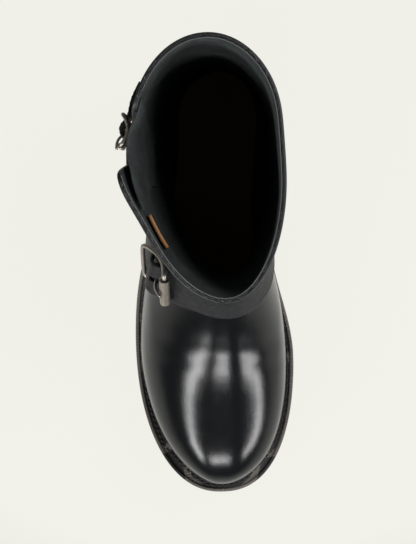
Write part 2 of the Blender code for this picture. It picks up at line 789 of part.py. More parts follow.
def add_strap(prefix, strap, tree, materials, collection, cutters):
    """The strap, the short strap that holds the buckle, and the buckle with its bar, roller and prong."""
    wrap = Wrap(tree, strap)
    frame = wrap.local()
    origin, along, across, outward = frame

    def at(distance, side, lift):
        return origin + along * distance + across * side + outward * lift

    chape = strap["chape"]
    end = strap["half_length"]
    half = strap["width"] / 2
    reach = half + strap["side_room"]
    corner = reach * 0.2
    rise = wrap.rise(frame, reach + strap["wire"], end)
    bar_lift = max(STRAP_EASE + chape + GAP + strap["bar"], rise + STRAP_EASE + strap["wire"])
    lowest, _ = wrap.heights(frame, 0.0, half)
    over = bar_lift + strap["bar"] + chape + UNDER_EASE - lowest
    thick = strap["thick"]
    _, front_leather = wrap.heights(frame, end, half)
    _, back_leather = wrap.heights(frame, -end, half)
    under = thick + UNDER_EASE
    above_chape = chape + UNDER_EASE + STRAP_EASE
    needed = under + max(STRAP_EASE + front_leather + strap["roller"], above_chape + back_leather + strap["wire"])
    end_height = max(bar_lift + strap["end_lift"], needed)
    under_roller = end_height - strap["roller"] - under - front_leather
    under_end = end_height - strap["wire"] - under - back_leather
    far = wrap.distance_at(strap["far_angle"])
    tip = wrap.distance_at(strap["tip_angle"])
    anchor = wrap.distance_at(strap["anchor_angle"])
    stops = np.array([-2.2, -1.3, -0.76, -0.26, 0.14, 0.74, 1.25, 1.9]) * end
    lifts = np.array([above_chape, under_end, under_end, over, over, under_roller, under_roller, STRAP_EASE])
    distances = np.arange(tip, far, STRAP_STEP)
    distances = np.append(distances, far)
    sections = []
    for distance in distances:
        lift = np.interp(distance, stops, lifts)
        nose = math.sqrt(min(1.0, max(0.08, (distance - tip) / (half * 0.9))))
        sections.append(wrap.section(distance, half * nose, float(lift), thick))
    made = loft(f"{prefix}_strap", sections, materials["strap"], collection)
    slot = box_cutter(
        f"{prefix}_strap_slot",
        frame,
        (-0.04 * end, -1.6 * strap["prong"], STRAP_EASE),
        (0.62 * end, 1.6 * strap["prong"], over * 3),
        cutters,
    )
    cut(made, slot)

    loop_from = -0.45 * end
    sections = []
    for distance in np.append(np.arange(anchor, loop_from, STRAP_STEP), loop_from):
        sections.append(wrap.section(distance, half * 0.9, STRAP_EASE, chape))
    turns = np.linspace(-0.5 * math.pi, 0.55 * math.pi, 8)
    radius = strap["bar"] + GAP
    for turn in turns:
        ring = []
        for distance in (radius + chape, radius):
            shares = (-1, -0.5, 0, 0.5, 1) if distance > radius else (1, 0.5, 0, -0.5, -1)
            ahead = math.cos(turn) * distance
            height = bar_lift + math.sin(turn) * distance
            ring.extend(at(ahead, share * half * 0.9, height) for share in shares)
        sections.append(ring)
    made = loft(f"{prefix}_chape", sections, materials["strap"], collection)
    slot = box_cutter(
        f"{prefix}_chape_slot",
        frame,
        (-0.2 * end, -1.6 * strap["prong"], bar_lift),
        (0.5 * end, 1.6 * strap["prong"], over * 2),
        cutters,
    )
    cut(made, slot)

    loop = []
    for centre_s, centre_y, start in ((1, 1, 0), (-1, 1, 90), (-1, -1, 180), (1, -1, 270)):
        for turn in np.radians(start + np.array([0, 30, 60, 90])):
            s_place = centre_s * (end - corner) + corner * math.cos(turn)
            y_place = centre_y * (reach - corner) + corner * math.sin(turn)
            loop.append((s_place, y_place))
    dense = []
    for first, second in zip(loop, loop[1:] + loop[:1]):
        count = 4 if abs(first[0] - second[0]) > end else 1
        for share in np.arange(count) / count:
            dense.append([first[i] + (second[i] - first[i]) * share for i in range(2)])
    lifted = end_height - bar_lift
    points = [at(s, y, bar_lift + lifted * min(1, (s / end) ** 2)) for s, y in dense]
    wire(f"{prefix}_buckle", points, strap["wire"], materials["metal"], collection, cyclic=True)
    bar_end = reach - strap["wire"] - GAP
    wire(
        f"{prefix}_bar",
        [at(0, -bar_end, bar_lift), at(0, bar_end, bar_lift)],
        strap["bar"],
        materials["metal"],
        collection,
    )
    add_roller(f"{prefix}_roller", strap, at, end, end_height, reach - corner - 2 * GAP, materials, collection)
    top = end_height + strap["roller"] + strap["prong"] + GAP
    lean = bar_lift + strap["bar"] + GAP + strap["prong"]
    prong = [
        at(-0.02 * end, 0, lean),
        at(0.16 * end, 0, lean + 0.16 * (top - lean)),
        at(0.40 * end, 0, lean + 0.62 * (top - lean)),
        at(0.66 * end, 0, top - 0.06 * (top - lean)),
        at(1.0 * end, 0, top),
        at(1.22 * end, 0, top - 0.08 * (top - lean)),
    ]
    wire(f"{prefix}_prong", prong, strap["prong"], materials["metal"], collection)


def add_roller(name, strap, at, end, height, length, materials, collection):
    """A tube turned round the buckle's front wire, with the gap kept inside it."""
    inner = strap["wire"] + GAP
    outer = max(strap["roller"], inner + 0.0004)
    centre = at(end, 0, height)
    axis = (at(end, 1, height) - centre).normalized()
    side = (at(end, 0, height + 1) - centre).normalized()
    maker = bmesh.new()
    profile = [(inner, -length), (outer, -length * 0.97), (outer, length * 0.97), (inner, length)]
    verts = [maker.verts.new(centre + side * reach + axis * place_at) for reach, place_at in profile]
    edges = [maker.edges.new((verts[i], verts[(i + 1) % 4])) for i in range(4)]
    bmesh.ops.spin(
        maker, geom=verts + edges, cent=centre, axis=axis, angle=math.tau, steps=16, use_merge=True
    )
    return add_object(name, finished(maker, name), materials["metal"], collection)


def add_gusset(materials, collection):
    """Thin leather behind the slit, bowed out between its edges."""
    lowest = CLOSED_FROM + (SLIT_ROW - 1.2) * (LAST_ROW - CLOSED_FROM) / CLOSED_ROWS
    maker = bmesh.new()
    grid = []
    for row in np.linspace(lowest, LAST_ROW - 0.07, 9):
        shares = column_shares(row)
        first, last = (shares[i] for i in SLIT_COLUMNS)
        places = np.linspace(first - GUSSET_BACK, last + GUSSET_FRONT, 22)
        points = place(row, places)
        slit_share = np.clip((places - first) / (last - first), 0, 1)
        bow = np.sin(slit_share * math.pi)
        open_share = np.clip((last - first) * COLUMNS / (SLIT_COLUMNS[1] - SLIT_COLUMNS[0]) - 0.2, 0, 1)
        depth = LEATHER + GUSSET_EASE + GUSSET / 2 - GUSSET_BULGE * bow * open_share
        depth = depth - GUSSET_FOLLOW * flap_height(row, places) * slit_share
        points = points + inward_normals(points) * depth[:, None]
        grid.append([maker.verts.new(point) for point in to_world(points)])
    for low, high in zip(grid, grid[1:]):
        for i in range(len(low) - 1):
            maker.faces.new((low[i], low[i + 1], high[i + 1], high[i]))
    made = add_object("gusset", finished(maker, "gusset"), materials["gusset"], collection)
    sheet = made.modifiers.new("thickness", "SOLIDIFY")
    sheet.thickness = GUSSET
    sheet.offset = 0
    return made


def clear_scene():
    for old in list(bpy.data.objects):
        bpy.data.objects.remove(old)


def make_materials():
    return {
        "leather": new_material("leather", (0.018, 0.019, 0.020), 0.36),
        "strap": new_material("strap_leather", (0.022, 0.022, 0.022), 0.55),
        "gusset": new_material("gusset_leather", (0.02, 0.021, 0.021), 0.6),
        "insole": new_material("insole_leather", (0.05, 0.035, 0.022), 0.7),
        "welt": new_material("welt_leather", (0.05, 0.045, 0.04), 0.6),
        "midsole": new_material("midsole_leather", (0.03, 0.028, 0.026), 0.6),
        "outsole": new_material("sole_rubber", (0.015, 0.015, 0.015), 0.7),
        "heel_stack": new_material("heel_leather", (0.02, 0.018, 0.016), 0.5),
        "heel_cap": new_material("heel_rubber", (0.015, 0.015, 0.015), 0.75),
        "metal": new_material("nickel", (0.6, 0.58, 0.55), 0.25, 1.0),
    }


def main():
    clear_scene()
    boot = new_collection("engineer_boot")
    materials = make_materials()
    rows = upper_rows()
    loop = feather_loop(rows)
    add_sole(materials, boot)
    add_welt(loop, materials, boot)
    add_insole(loop, materials, boot)
    add_upper(rows, loop, materials, boot)
    add_gusset(materials, boot)
    cutters = new_collection("cutters", hidden=True)
    tree = outer_tree(rows, loop)
    add_strap("top", COLLAR, tree, materials, boot, cutters)
    add_strap("instep", INSTEP, tree, materials, boot, cutters)


main()
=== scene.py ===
"""Engineer boot, right foot: the finish of its leather, sole, stitching and metal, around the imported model.

It is laid out as an add-on and run as a script. One operator builds each group of pieces.
"""
import math

import bmesh
import bpy
import numpy as np
from bpy.props import FloatProperty, FloatVectorProperty, IntProperty, PointerProperty
from mathutils import Matrix, Vector
from mathutils.bvhtree import BVHTree
from mathutils.kdtree import KDTree


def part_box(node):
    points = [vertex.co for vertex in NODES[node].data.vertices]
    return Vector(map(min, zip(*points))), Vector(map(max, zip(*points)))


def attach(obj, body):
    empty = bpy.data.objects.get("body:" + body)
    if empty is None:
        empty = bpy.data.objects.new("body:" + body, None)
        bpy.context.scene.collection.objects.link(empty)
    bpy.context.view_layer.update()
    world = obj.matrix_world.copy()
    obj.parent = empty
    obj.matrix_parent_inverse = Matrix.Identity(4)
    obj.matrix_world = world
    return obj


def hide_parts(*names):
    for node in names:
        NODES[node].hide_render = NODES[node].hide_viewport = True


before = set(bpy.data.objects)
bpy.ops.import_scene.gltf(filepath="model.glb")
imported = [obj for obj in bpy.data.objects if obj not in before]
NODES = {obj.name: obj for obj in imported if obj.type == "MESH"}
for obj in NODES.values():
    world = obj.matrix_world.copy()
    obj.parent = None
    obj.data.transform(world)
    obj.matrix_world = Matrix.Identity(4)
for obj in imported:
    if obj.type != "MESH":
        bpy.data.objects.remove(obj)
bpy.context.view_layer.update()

bl_info = {
    "name": "Engineer Boot",
    "version": (1, 0, 0),
    "blender": (4, 5, 0),
    "location": "View3D > Sidebar > Boot",
    "description": "Dresses an engineer boot with leather, stitching, a welted sole and nickel buckles",
    "category": "Object",
}

COLLAR_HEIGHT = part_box("upper")[1][2]
OUTER, INNER, EDGE = range(3)  # the upper's faces: leather, lining and cut edges

SAME_PLACE = 1e-5
SHARP_EDGE = math.radians(48)
CORNER = math.radians(42)

COLLAR_STITCH_INSET = 0.0046
STRAP_STITCH_INSETS = {"instep_strap": 0.0024, "top_strap": 0.0018}
RIM_HIGHLIGHT_RADIUS = 0.00042
TUBE_SIDES = 6

WELT_CHANNEL = 0.0040  # from the lip to the stitches
WELT_THREAD = 0.00062
WELT_NOTCH = 0.0021  # from one wheeled notch to the next

STRAP_END_FIRST = Vector((-0.0372, -0.0690, 0.2745))
STRAP_END_LAST = Vector((-0.0285, -0.0880, 0.2735))
STRAP_END_STEP = 0.005
STRAP_END_THICKNESS = 0.0019

CREASES = {
    # points it runs through (x, y, z), share of the crease depth, width
    "ankle_front": (
        ((-0.043, -0.080, 0.128), (-0.020, -0.107, 0.146), (0.005, -0.114, 0.152), (0.026, -0.100, 0.142),
         (0.038, -0.072, 0.126)), 1.0, 0.0062),
    "ankle_front_low": (
        ((-0.046, -0.060, 0.104), (-0.034, -0.092, 0.124), (-0.012, -0.110, 0.135)), 0.6, 0.0050),
    "ankle_back": (
        ((-0.034, 0.004, 0.112), (-0.018, 0.022, 0.104), (0.0, 0.028, 0.102), (0.018, 0.020, 0.106),
         (0.032, 0.000, 0.114)), 0.55, 0.0080),
    "ankle_back_high": (
        ((-0.036, 0.000, 0.138), (-0.012, 0.022, 0.128), (0.014, 0.020, 0.130)), 0.4, 0.0070),
    "inner_fold": (
        ((0.032, -0.010, 0.172), (0.034, -0.040, 0.160), (0.032, -0.078, 0.168)), 0.8, 0.0085),
    "outer_fold": (
        ((-0.036, -0.004, 0.165), (-0.042, -0.034, 0.154), (-0.044, -0.070, 0.166)), 0.7, 0.0085),
    "shaft_dent": (
        ((0.012, 0.022, 0.215), (0.028, 0.004, 0.205), (0.036, -0.026, 0.212)), 0.7, 0.0110),
    "ball_crease": (
        ((-0.050, -0.150, 0.044), (-0.026, -0.158, 0.072), (0.004, -0.160, 0.083), (0.030, -0.156, 0.064),
         (0.044, -0.150, 0.042)), 0.16, 0.0050),
    "ball_crease_far": (
        ((-0.047, -0.168, 0.046), (-0.030, -0.172, 0.066), (-0.012, -0.174, 0.077)), 0.12, 0.0045),
    "inner_ball_crease": (
        ((0.046, -0.166, 0.040), (0.034, -0.172, 0.060), (0.018, -0.174, 0.074)), 0.14, 0.0045),
}
RIDGE_SHARE = 0.42  # the ridge beside a crease, as a share of its depth
RIDGE_PLACE = 1.9  # and how far off it stands, in widths

SOLE_LAYERS = (
    # node, slot, share of the welt's colour, roughness
    ("midsole", "midsole_leather", 0.42, 0.55),
    ("outsole", "sole_rubber", 0.3, 0.62),
    ("heel_cap", "heel_rubber", 0.28, 0.7),
)
LIFT_SHARE, LIFT_ROUGHNESS = 0.34, 0.42
FLOOR_DUST = (0.09, 0.085, 0.08)
# shades of the pale line along the collar's folded edge, a painted highlight
RIM_HIGHLIGHT_SHADES = ((0.035, 0.035, 0.036), (0.10, 0.10, 0.10))
WELT_THREAD_SHADES = ((0.003, 0.003, 0.003), (0.012, 0.012, 0.011))

IMAGE_LONG_SIDE = 544  # pixels that the focal length is given in
FLOOR_SIZE = 1.6
LIT_RADIUS = 0.32
WORLD_LIGHT = 0.09
LIGHTS_AIM = Vector((0.0, -0.16, 0.06))
SOFTBOXES = (
    # name, middle of one end, middle of the other end, height, watts
    ("left_softbox", (-0.55, -1.10, 0.66), (-0.96, -0.72, 0.72), 0.17, 10.5),
    ("right_softbox", (0.68, -0.98, 0.64), (1.14, -0.60, 0.29), 0.13, 8.5),
    ("front_softbox", (-0.27, -1.16, 0.87), (0.17, -1.16, 0.87), 0.14, 7.0),
    ("lining_softbox", (0.85, 0.05, 1.15), (0.85, 0.65, 1.15), 0.60, 11.0),
)


class BootSizes(bpy.types.PropertyGroup):
    """Sizes of the fine work."""

    crease_depth: FloatProperty(
        name="Crease depth", description="Depth of the deepest walking crease", default=0.0016, unit="LENGTH"
    )
    grain: FloatProperty(
        name="Grain", description="Size of one pebble of the leather's grain", default=0.0011, unit="LENGTH"
    )
    stitch_pitch: FloatProperty(
        name="Stitch pitch", description="Length of one stitch with its gap", default=0.0031, unit="LENGTH"
    )
    thread: FloatProperty(name="Thread", description="Radius of the thread", default=0.00038, unit="LENGTH")
    welt_pitch: FloatProperty(
        name="Welt stitch pitch",
        description="Length of one welt stitch with its gap",
        default=0.0042,
        unit="LENGTH",
    )
    smoothing: IntProperty(
        name="Smoothing", description="Subdivision levels of the upper", default=2, min=1, max=3
    )


class BootColours(bpy.types.PropertyGroup):
    """Colours of the finishes."""

    leather: FloatVectorProperty(
        name="Leather",
        description="Black upper leather",
        default=(0.0042, 0.0048, 0.0054),
        subtype="COLOR",
    )
    lining: FloatVectorProperty(
        name="Lining",
        description="Napped inner side of the shaft",
        default=(0.031, 0.039, 0.038),
        subtype="COLOR",
    )
    strap: FloatVectorProperty(
        name="Strap",
        description="Matt strap leather",
        default=(0.0075, 0.0078, 0.0085),
        subtype="COLOR",
    )
    raw_edge: FloatVectorProperty(
        name="Raw edge",
        description="Undyed core of the leather at a cut edge",
        default=(0.34, 0.165, 0.065),
        subtype="COLOR",
    )
    welt: FloatVectorProperty(
        name="Welt",
        description="Waxed welt leather",
        default=(0.085, 0.076, 0.067),
        subtype="COLOR",
    )
    metal: FloatVectorProperty(
        name="Metal",
        description="Warm nickel plate",
        default=(0.36, 0.325, 0.285),
        subtype="COLOR",
    )
    insole: FloatVectorProperty(
        name="Insole", description="Tan insole board", default=(0.24, 0.165, 0.065), subtype="COLOR"
    )
    thread: FloatVectorProperty(
        name="Thread", description="Black sewing thread", default=(0.022, 0.021, 0.020), subtype="COLOR"
    )


class StageSettings(bpy.types.PropertyGroup):
    """Where the camera stands and how bright the stage is."""

    camera: FloatVectorProperty(
        name="Camera",
        description="Place of the camera",
        default=(0.0038, -0.0634, 1.073),
        subtype="TRANSLATION",
    )
    focal: FloatProperty(name="Focal length", description="Focal length in image pixels", default=1484)
    aim: FloatVectorProperty(
        name="Aim",
        description="Direction the camera looks in",
        default=(-0.01146, -0.0451, -1.0),
        subtype="DIRECTION",
    )
    floor: FloatVectorProperty(
        name="Floor", description="Pale floor", default=(0.86, 0.86, 0.80), subtype="COLOR"
    )
    brightness: FloatProperty(
        name="Brightness", description="Share of the studio light", default=1.0, min=0.0
    )


class Maths:
    """A shader socket that can be used in plain arithmetic."""

    def __init__(self, socket):
        self.socket = socket

    def with_other(self, operation, other, swapped=False):
        made = self.socket.id_data.nodes.new("ShaderNodeMath")
        made.operation = operation
        for slot, value in zip(made.inputs, (other, self) if swapped else (self, other)):
            if value is not None:
                fill(slot, value)
        return Maths(made.outputs[0])

    def __add__(self, other):
        return self.with_other("ADD", other)

    __radd__ = __add__

    def __sub__(self, other):
        return self.with_other("SUBTRACT", other)

    def __rsub__(self, other):
        return self.with_other("SUBTRACT", other, swapped=True)

    def __mul__(self, other):
        return self.with_other("MULTIPLY", other)

    __rmul__ = __mul__

    def sine(self):
        return self.with_other("SINE", None)

    def at_most(self, other):
        return self.with_other("MINIMUM", other)

    def at_least(self, other):
        return self.with_other("MAXIMUM", other)


def fill(slot, value):
    """Link a socket to this input, or set the input's own number or colour."""
    if isinstance(value, Maths):
        slot.id_data.links.new(value.socket, slot)
    elif slot.type == "RGBA":
        slot.default_value = (*value, 1)
    else:
        slot.default_value = value


class Finish:
    """A material being built: every node but plain maths comes from node()."""

    def __init__(self, name):
        self.material = bpy.data.materials.new(name)
        self.material.use_nodes = True
        self.tree = self.material.node_tree
        self.shader = self.tree.nodes["Principled BSDF"]
        self.place = self.node("ShaderNodeTexCoord", output="Object")

    def node(self, kind, settings=None, sockets=None, output=0):
        """Add a node, set it up, fill its sockets and give one of its outputs."""
        made = self.tree.nodes.new(kind)
        for name, value in (settings or {}).items():
            if name == "stops":
                self.set_stops(made.color_ramp, value)
            else:
                setattr(made, name, value)
        for name, value in (sockets or {}).items():
            fill(made.inputs[name], value)
        return Maths(made.outputs[output])

    @staticmethod
    def set_stops(ramp, stops):
        while len(ramp.elements) < len(stops):
            ramp.elements.new(0.5)
        for element, (position, value) in zip(ramp.elements, stops):
            element.position = position
            element.color = (value, value, value, 1)

    def noise(self, size, detail=3.0, rough=0.55, stretch=None):
        """Soft noise from 0 to 1 whose blotches are about this size."""
        place = self.place
        if stretch:
            sockets = {"Vector": place, "Scale": stretch}
            place = self.node("ShaderNodeMapping", None, sockets, "Vector")
        sockets = {"Vector": place, "Scale": 1 / size, "Detail": detail, "Roughness": rough}
        return self.node("ShaderNodeTexNoise", None, sockets, "Fac")

    def pebbles(self, size):
        sockets = {"Vector": self.place, "Scale": 1 / size}
        return self.node("ShaderNodeTexVoronoi", {"feature": "SMOOTH_F1"}, sockets, "Distance")

    def height(self):
        return self.node("ShaderNodeSeparateXYZ", None, {"Vector": self.place}, "Z")

    def ramp(self, value, stops):
        return self.node("ShaderNodeValToRGB", {"stops": stops}, {"Fac": value}, "Color")

    def mix(self, factor, first, second):
        return self.node("ShaderNodeMix", {"data_type": "RGBA"}, {0: factor, 6: first, 7: second}, 2)

    def bump(self, height, distance, strength, after=None):
        sockets = {"Height": height, "Distance": distance, "Strength": strength}
        if after is not None:
            sockets["Normal"] = after
        return self.node("ShaderNodeBump", None, sockets, "Normal")

    def attribute(self, name):
        return self.node("ShaderNodeAttribute", {"attribute_name": name}, output="Fac")

    def set(self, **values):
        for name, value in values.items():
            fill(self.shader.inputs[name.replace("_", " ").title().replace("Ior", "IOR")], value)
        return self.material


def colour(name):
    return tuple(getattr(bpy.context.scene.boot_colours, name))


def scaled(values, share):
    return tuple(value * share for value in values)


def leather_finish():
    """Smooth pull-up leather: fine pebbled grain, soft cloudy wear, paler worn ridges, and painted shade
    darkening the creases.
    """
    finish = Finish("leather")
    grain = bpy.context.scene.boot_sizes.grain
    cloud = finish.noise(0.035, 4)
    smear = finish.noise(0.009, 5)
    pebble = finish.pebbles(grain)
    fine = finish.noise(grain * 0.45, 2)
    crease = finish.attribute("crease")
    dark = colour("leather")
    tint = finish.mix(cloud, scaled(dark, 0.72), scaled(dark, 1.35))
    worn = (crease.at_least(0.0) * 0.9).at_most(1.0)
    tint = finish.mix(worn, tint, scaled(dark, 2.3))
    # painted shade: the creases' hollows are darkened in the colour, as if in shade
    painted_hollow_shade = ((crease * -1.0).at_least(0.0) * 1.4).at_most(1.0)
    tint = finish.mix(painted_hollow_shade, tint, scaled(dark, 0.55))
    first = finish.bump(pebble * 0.4 + fine * 0.6, 0.00013, 0.6)
    normal = finish.bump(smear, 0.00025, 0.25, first)
    roughness = 0.13 + 0.06 * smear + 0.05 * cloud + 0.10 * painted_hollow_shade
    return finish.set(base_color=tint, roughness=roughness, specular_ior_level=0.26, normal=normal)


def strap_finish():
    """Matt oiled leather with a coarse wrinkled grain, the raised parts of its wrinkles paled as a painted
    highlight.
    """
    finish = Finish("strap_leather")
    dark = colour("strap")
    cloud = finish.noise(0.012, 5)
    wrinkle = finish.noise(0.0035, 6, 0.62)
    pebble = finish.pebbles(0.0012)
    # painted highlight: the raised parts of the wrinkles are paled in the colour
    painted_wrinkle_highlight = finish.ramp(wrinkle, ((0.45, 0.0), (0.72, 1.0)))
    tint = finish.mix(cloud, scaled(dark, 0.7), scaled(dark, 2.0))
    tint = finish.mix(painted_wrinkle_highlight * 0.45, tint, scaled(dark, 3.5))
    first = finish.bump(pebble, 0.00014, 0.7)
    normal = finish.bump(wrinkle, 0.0011, 0.8, first)
    roughness = 0.40 + 0.2 * cloud
    return finish.set(base_color=tint, roughness=roughness, specular_ior_level=0.22, normal=normal)


def lining_finish(name):
    """Napped flesh side: soft fibres and darker patches where it has been rubbed."""
    finish = Finish(name)
    base = colour("lining")
    patch = finish.ramp(finish.noise(0.012, 5, 0.65), ((0.38, 0.0), (0.62, 1.0)))
    fibre = finish.ramp(finish.noise(0.0016, 5, 0.78), ((0.40, 0.0), (0.64, 1.0)))
    tint = finish.mix(patch, scaled(base, 0.45), scaled(base, 1.25))
    tint = finish.mix(fibre * 0.55, tint, scaled(base, 2.2))
    normal = finish.bump(fibre, 0.0007, 0.9)
    return finish.set(base_color=tint, roughness=0.9, normal=normal)


def edge_finish():
    """Cut edge of the wall: dyed black, with a seam between its two plies and a few raw spots."""
    finish = Finish("cut_edge")
    wall = finish.attribute("wall")
    fibre = finish.noise(0.0007, 4, 0.7)
    patch = finish.noise(0.011, 4)
    seam = finish.ramp(wall, ((0.50, 0.0), (0.56, 1.0), (0.62, 0.0)))
    raw = finish.ramp(patch, ((0.70, 0.0), (0.78, 0.8)))
    tint = finish.mix(fibre, scaled(colour("leather"), 1.3), scaled(colour("leather"), 2.6))
    tint = finish.mix(seam, tint, scaled(colour("leather"), 0.4))
    tint = finish.mix(raw, tint, scaled(colour("raw_edge"), 0.5))
    first = finish.bump(fibre, 0.00015, 0.5)
    normal = finish.bump(seam * -1.0, 0.0004, 0.8, first)
    return finish.set(base_color=tint, roughness=0.5, normal=normal)


def fibre_finish(name, dark, pale, size, relief, roughness, detail=4, rough=0.7):
    """Plain fibres between two shades, with a relief of this depth and strength."""
    finish = Finish(name)
    fibre = finish.noise(size, detail, rough)
    normal = finish.bump(fibre, *relief)
    return finish.set(base_color=finish.mix(fibre, dark, pale), roughness=roughness, normal=normal)


def raw_edge_finish():
    """Undyed core of a thick strap, left tan where it is cut."""
    tan = colour("raw_edge")
    return fibre_finish("raw_edge", scaled(tan, 0.55), scaled(tan, 1.4), 0.0008, (0.0002, 0.6), 0.75)


def dyed_edge_finish():
    """Edge of a strap, dyed with the rest."""
    dark = colour("strap")
    return fibre_finish("dyed_edge", scaled(dark, 0.6), scaled(dark, 1.8), 0.0008, (0.0002, 0.5), 0.55)


def rim_highlight_finish():
    """Thin pale line along the lining's folded edge at the collar: a painted highlight of that edge."""
    return fibre_finish("rim_leather", *RIM_HIGHLIGHT_SHADES, 0.0012, (0.0001, 0.5), 0.42)


def welt_thread_finish():
    """Thick waxed thread, nearly black."""
    return fibre_finish("welt_thread", *WELT_THREAD_SHADES, 0.0006, (0.00015, 0.6), 0.62, 3, 0.55)


def inner_end_finish(top):
    """Black leather whose cut upper edge was left tan, frayed a little."""
    finish = Finish("inner_end")
    fray = finish.noise(0.0022, 4, 0.7)
    fibre = finish.noise(0.0007, 4, 0.7)
    above = finish.height() - (top - 0.0022) + (fray - 0.5) * 0.0022
    bare = (above * 2500.0).at_least(0.0).at_most(1.0)
    tan = finish.mix(fibre, scaled(colour("raw_edge"), 0.6), scaled(colour("raw_edge"), 1.7))
    tint = finish.mix(bare, scaled(colour("strap"), 0.8), tan)
    normal = finish.bump(fibre, 0.0002, 0.6)
    return finish.set(base_color=tint, roughness=0.75, normal=normal)


def welt_finish():
    """Waxed welt, brownish grey: wheeled notches on its lip, darkened in their grooves as painted shade, and
    the stitch channel painted near black as shade.
    """
    finish = Finish("welt_leather")
    base = colour("welt")
    run = finish.attribute("run")
    inside = finish.attribute("in_from_lip")
    patch = finish.noise(0.012, 5)
    fibre = finish.noise(0.0010, 4, 0.7)
    notch = (run * (math.tau / WELT_NOTCH)).sine() * 0.5 + 0.5
    lip = finish.ramp(inside * 220.0, ((0.0, 1.0), (0.46, 1.0), (0.58, 0.0)))
    tint = finish.mix(patch, scaled(base, 0.8), scaled(base, 1.9))
    tint = finish.mix(fibre * 0.5, tint, scaled(base, 0.5))
    # painted shade: the wheeled notches are darkened in the colour
    tint = finish.mix(notch * 0.30 * lip, tint, scaled(base, 0.25))
    # painted shade: away from the lip, the stitch channel is darkened to near black
    tint = finish.mix(lip, scaled(base, 0.05), tint)
    first = finish.bump(fibre, 0.00030, 0.7)
    normal = finish.bump(notch * lip * -1.0, 0.00022, 0.6, first)
    return finish.set(base_color=tint, roughness=0.42 + 0.2 * patch, normal=normal)


def sole_finish(name, share, rough):
    """Layered sole edge: dark stain with faint level lines and scuffs."""
    finish = Finish(name)
    base = scaled(colour("welt"), share)
    lines = finish.noise(0.0014, 3, 0.6, (0.06, 0.06, 1.0))
    scuff = finish.noise(0.006, 6, 0.65)
    tint = finish.mix(lines, scaled(base, 0.7), scaled(base, 1.35))
    tint = finish.mix(finish.ramp(scuff, ((0.58, 0.0), (0.72, 0.5))), tint, scaled(base, 2.2))
    floor_dirt = (1.0 - finish.height() * 220.0).at_least(0.0).at_most(1.0)
    tint = finish.mix(floor_dirt * 0.5, tint, FLOOR_DUST)
    normal = finish.bump(lines * 0.6 + scuff * 0.4, 0.0003, 0.5)
    return finish.set(base_color=tint, roughness=rough, normal=normal)


def insole_finish():
    """Tan leather board, darker and paler in soft random patches."""
    finish = Finish("insole_leather")
    base = colour("insole")
    patch = finish.noise(0.03, 5)
    fine = finish.noise(0.0011, 4, 0.7)
    tint = finish.mix(patch, scaled(base, 0.5), scaled(base, 1.5))
    normal = finish.bump(fine, 0.0002, 0.4)
    return finish.set(base_color=tint, roughness=0.62, normal=normal)


def metal_finish():
    """Nickel plate with fine scratches and dull patches."""
    finish = Finish("nickel")
    base = colour("metal")
    patch = finish.noise(0.004, 5)
    scratch = finish.noise(0.0006, 3, 0.6, (1.0, 0.12, 1.0))
    tint = finish.mix(patch, scaled(base, 0.7), scaled(base, 1.15))
    normal = finish.bump(scratch, 0.00004, 0.5)
    roughness = 0.34 + 0.2 * patch + 0.06 * scratch
    return finish.set(base_color=tint, metallic=1.0, roughness=roughness, normal=normal)


def thread_finish():
    """Black sewing thread."""
    finish = Finish("thread")
    fine = finish.noise(0.0004, 2)
    normal = finish.bump(fine, 0.0001, 0.6)
    return finish.set(base_color=colour("thread"), roughness=0.6, normal=normal)


def cad_copy(node):
    """The node's surface, with pairs of its triangles joined to quads where they allow it."""
    maker = bmesh.new()
    maker.from_mesh(NODES[node].data)
    bmesh.ops.remove_doubles(maker, verts=maker.verts, dist=SAME_PLACE)
    bmesh.ops.join_triangles(
        maker,
        faces=maker.faces,
        angle_face_threshold=math.radians(40),
        angle_shape_threshold=math.radians(60),
    )
    return maker


def crease_where(maker, amount, wanted):
    """Hold some edges against the smoothing; a full crease is also left unsmoothed."""
    layer = maker.edges.layers.float.new("crease_edge")
    for edge in maker.edges:
        if wanted(edge):
            edge[layer] = amount
            edge.smooth = amount < 1.0


def crease_sharp(maker, amount, angle=SHARP_EDGE):
    crease_where(maker, amount, lambda edge: edge.calc_face_angle(0) > angle)


def crease_borders(maker, amount):
    """Keep the wall's borders crisp, where its faces change from one finish to another."""
    crease_where(maker, amount, lambda edge: len({face.material_index for face in edge.link_faces}) > 1)


def add_piece(name, maker, materials, slot, *nodes):
    mesh = bpy.data.meshes.new(name)
    maker.to_mesh(mesh)
    maker.free()
    for material in materials:
        mesh.materials.append(material)
    mesh.polygons.foreach_set("use_smooth", [True] * len(mesh.polygons))
    piece = bpy.data.objects.new(name, mesh)
    bpy.context.scene.collection.objects.link(piece)
    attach(piece, "root")
    if nodes:
        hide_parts(*nodes)
    return piece


def add_tube(name, runs, radius, finish, slot):
    """Round thin lines through runs of points, as one mesh."""
    maker = bmesh.new()
    for points in runs:
        last = len(points) - 1
        former = None
        for number, point in enumerate(points):
            way = (points[min(number + 1, last)] - points[max(number - 1, 0)]).normalized()
            side = way.cross(Vector((0, 0, 1))).normalized()
            up = side.cross(way).normalized()
            turn = Matrix.Translation(point) @ turn_to(-up, side, -way)
            ring = bmesh.ops.create_circle(
                maker, cap_ends=number in (0, last), segments=TUBE_SIDES, radius=radius, matrix=turn
            )["verts"]
            edges = list(dict.fromkeys(edge for vert in ring for edge in vert.link_edges))
            if former:
                bmesh.ops.bridge_loops(maker, edges=former + edges)
            former = edges
    bmesh.ops.recalc_face_normals(maker, faces=maker.faces)
    piece = add_piece(name, maker, [finish], slot)
    subdivide(piece, 1)
    return piece


def turn_to(x_side, y_side, z_side):
    """The turn that lays the axes along these three sides."""
    return Matrix((x_side, y_side, z_side)).transposed().to_4x4()


def subdivide(piece, levels):
    modifier = piece.modifiers.new("subdivision", "SUBSURF")
    modifier.levels = levels
    modifier.render_levels = levels


def applied(piece):
    """Bake the modifiers into the mesh."""
    graph = bpy.context.evaluated_depsgraph_get()
    mesh = bpy.data.meshes.new_from_object(piece.evaluated_get(graph))
    piece.modifiers.clear()
    piece.data = mesh
    return mesh


